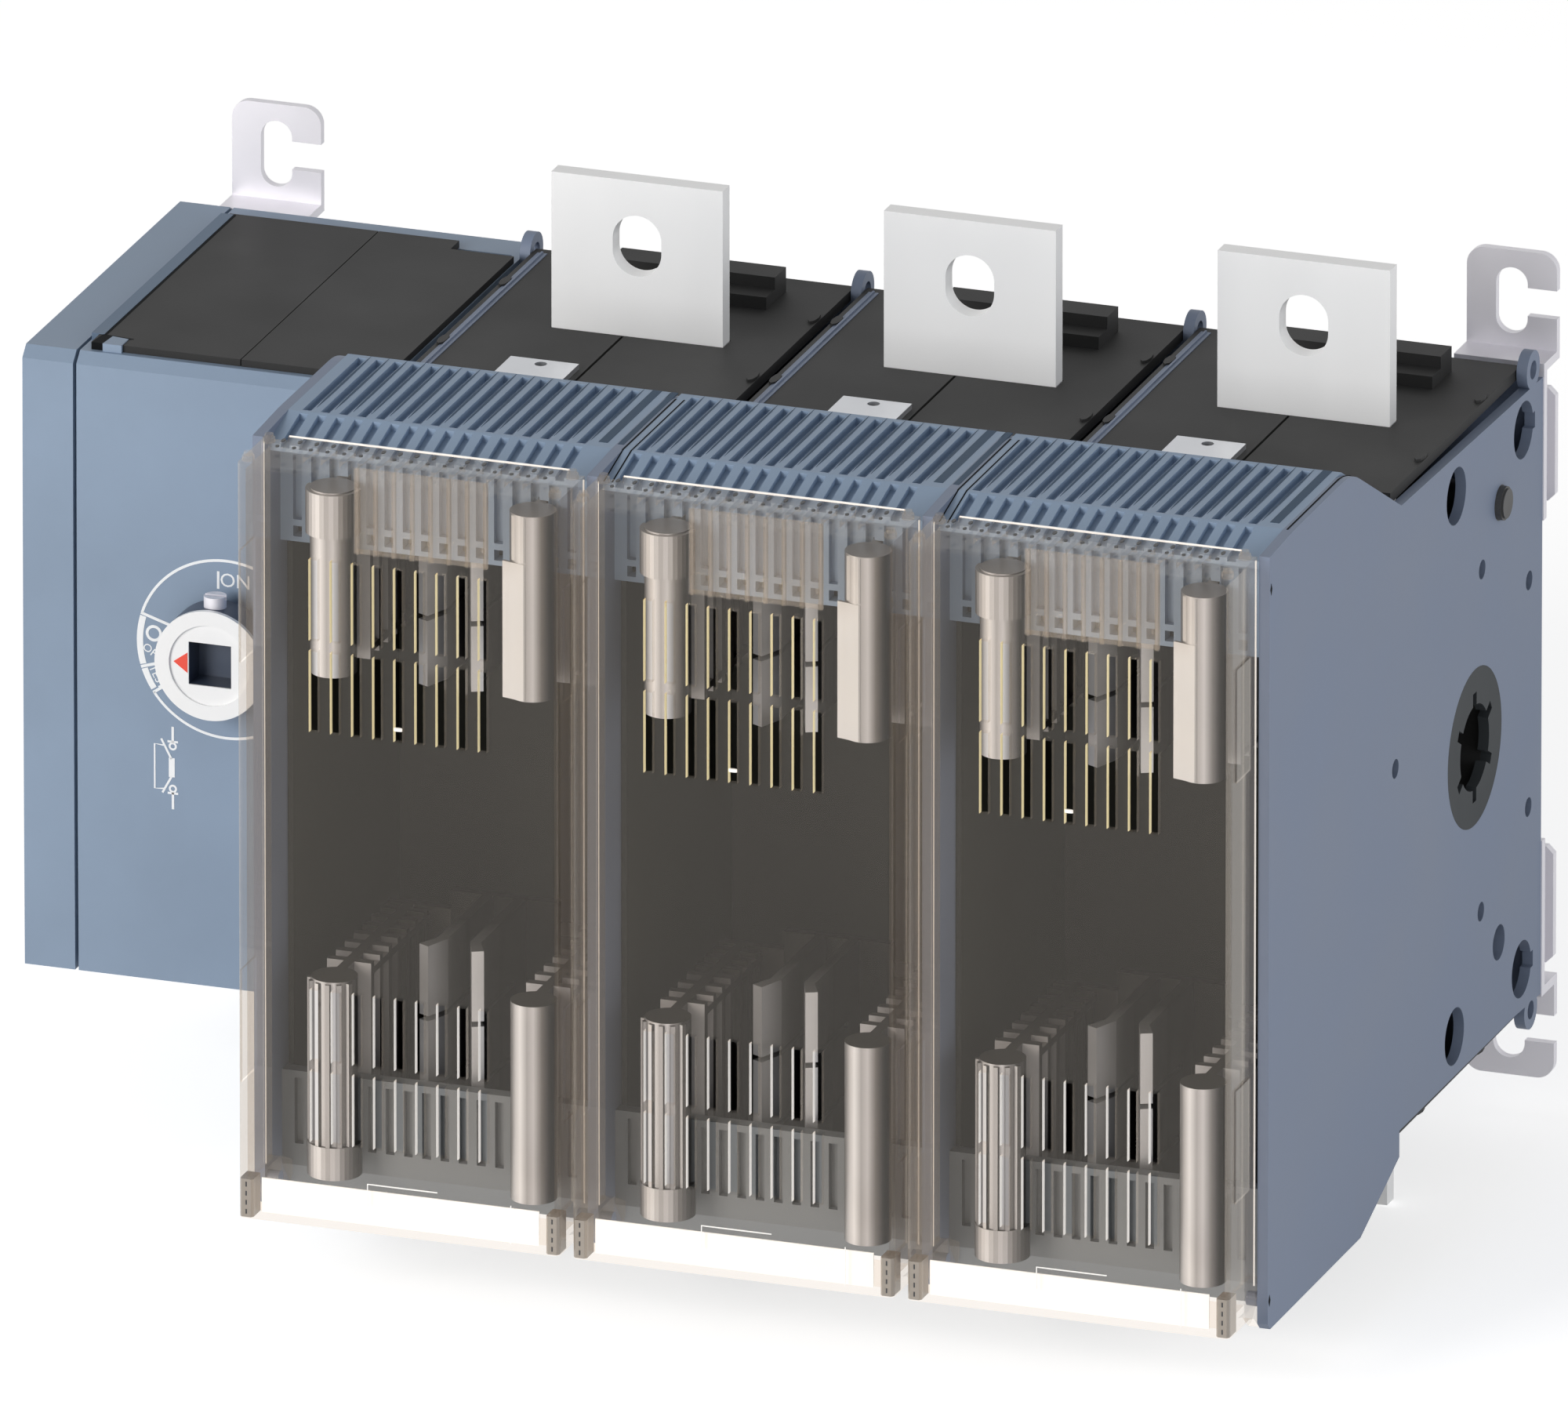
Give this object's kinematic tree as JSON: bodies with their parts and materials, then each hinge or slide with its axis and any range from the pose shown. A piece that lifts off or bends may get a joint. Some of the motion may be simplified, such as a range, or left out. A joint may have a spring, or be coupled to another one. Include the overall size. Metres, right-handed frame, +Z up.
{
  "type": "fuse switch disconnector",
  "caption": "Fuse switch disconnector: a row of pole housings with clear hinged fuse covers, ribbed hoods and flat terminal bars, a drive unit at the left end and slotted feet.",
  "frame": {"origin": "middle of the four slots of the mounting feet, on the plane that the feet's backs lie on", "axes": "+X right along the row of poles, +Y back into the mounting plate, +Z up"},
  "size_m": [0.3909, 0.26, 0.2675],
  "materials": {
    "housing_plastic": "moulded, fine grain",
    "drive_plastic": "moulded, fine grain",
    "black_plastic": "moulded, satin",
    "tray_plastic": "moulded, satin",
    "guard_plastic": "moulded, satin",
    "tinned_copper": "tin plated, dull",
    "contact_copper": "plain",
    "shaft_plastic": "moulded",
    "ring_plastic": "moulded",
    "zinc_steel": "zinc plated",
    "dark_steel": "blackened",
    "steel": "plain",
    "hub_plastic": "moulded, satin",
    "clear_plastic": "smoked, clear"
  },
  "bodies": {
    "housing": {"drive_case": "drive_plastic", "drive_end_cap": "drive_plastic", "drive_cover_left": "black_plastic", "drive_cover_right": "black_plastic", "bearing_plate": "steel", "side_panel": "housing_plastic", "tie_rods": "dark_steel", "upper_left_foot": "zinc_steel", "lower_left_foot": "zinc_steel", "upper_right_foot": "zinc_steel", "lower_right_foot": "zinc_steel", "pole_housing_1": "housing_plastic", "fuse_tray_1": "tray_plastic", "upper_hood_1": "housing_plastic", "upper_rear_cover_1": "black_plastic", "upper_contact_guard_1": "guard_plastic", "upper_fuse_contact_1": "tinned_copper", "lower_hood_1": "housing_plastic", "lower_rear_cover_1": "black_plastic", "lower_contact_guard_1": "guard_plastic", "lower_fuse_contact_1": "tinned_copper", "line_terminal_1": "tinned_copper", "load_terminal_1": "tinned_copper", "pole_housing_2": "housing_plastic", "fuse_tray_2": "tray_plastic", "upper_hood_2": "housing_plastic", "upper_rear_cover_2": "black_plastic", "upper_contact_guard_2": "guard_plastic", "upper_fuse_contact_2": "tinned_copper", "lower_hood_2": "housing_plastic", "lower_rear_cover_2": "black_plastic", "lower_contact_guard_2": "guard_plastic", "lower_fuse_contact_2": "tinned_copper", "line_terminal_2": "tinned_copper", "load_terminal_2": "tinned_copper", "pole_housing_3": "housing_plastic", "fuse_tray_3": "tray_plastic", "upper_hood_3": "housing_plastic", "upper_rear_cover_3": "black_plastic", "upper_contact_guard_3": "guard_plastic", "upper_fuse_contact_3": "tinned_copper", "lower_hood_3": "housing_plastic", "lower_rear_cover_3": "black_plastic", "lower_contact_guard_3": "guard_plastic", "lower_fuse_contact_3": "tinned_copper", "line_terminal_3": "tinned_copper", "load_terminal_3": "tinned_copper"},
    "spindle": {"drive_hub": "hub_plastic", "hub_screw": "steel", "drive_spindle": "steel"},
    "pole_shaft": {"switch_shaft": "shaft_plastic", "moving_contacts_1": "contact_copper", "moving_contacts_2": "contact_copper", "moving_contacts_3": "contact_copper", "shaft_end_ring": "ring_plastic", "shaft_lever": "steel"},
    "cover_1": {"fuse_cover_1": "clear_plastic"},
    "cover_2": {"fuse_cover_2": "clear_plastic"},
    "cover_3": {"fuse_cover_3": "clear_plastic"}
  },
  "joints": [
    {"name": "handle_turn", "type": "hinge", "parent": "housing", "child": "spindle", "pos_m": [-0.1426, -0.141, 0.0114], "axis": [0, 1, 0], "range_deg": [-30, 90]},
    {"name": "shaft_turn", "type": "hinge", "parent": "housing", "child": "pole_shaft", "pos_m": [0, -0.0687, 0], "axis": [1, 0, 0], "range_deg": [-10.67, 32]},
    {"name": "cover_1_swing", "type": "hinge", "parent": "housing", "child": "cover_1", "pos_m": [-0.0495, -0.2354, -0.1], "axis": [1, 0, 0], "range_deg": [0, 100]},
    {"name": "cover_2_swing", "type": "hinge", "parent": "housing", "child": "cover_2", "pos_m": [0.0455, -0.2354, -0.1], "axis": [1, 0, 0], "range_deg": [0, 100]},
    {"name": "cover_3_swing", "type": "hinge", "parent": "housing", "child": "cover_3", "pos_m": [0.1405, -0.2354, -0.1], "axis": [1, 0, 0], "range_deg": [0, 100]}
  ],
  "couplings": [
    {"joint": "shaft_turn", "follows": "handle_turn", "ratio": 0.35556}
  ]
}
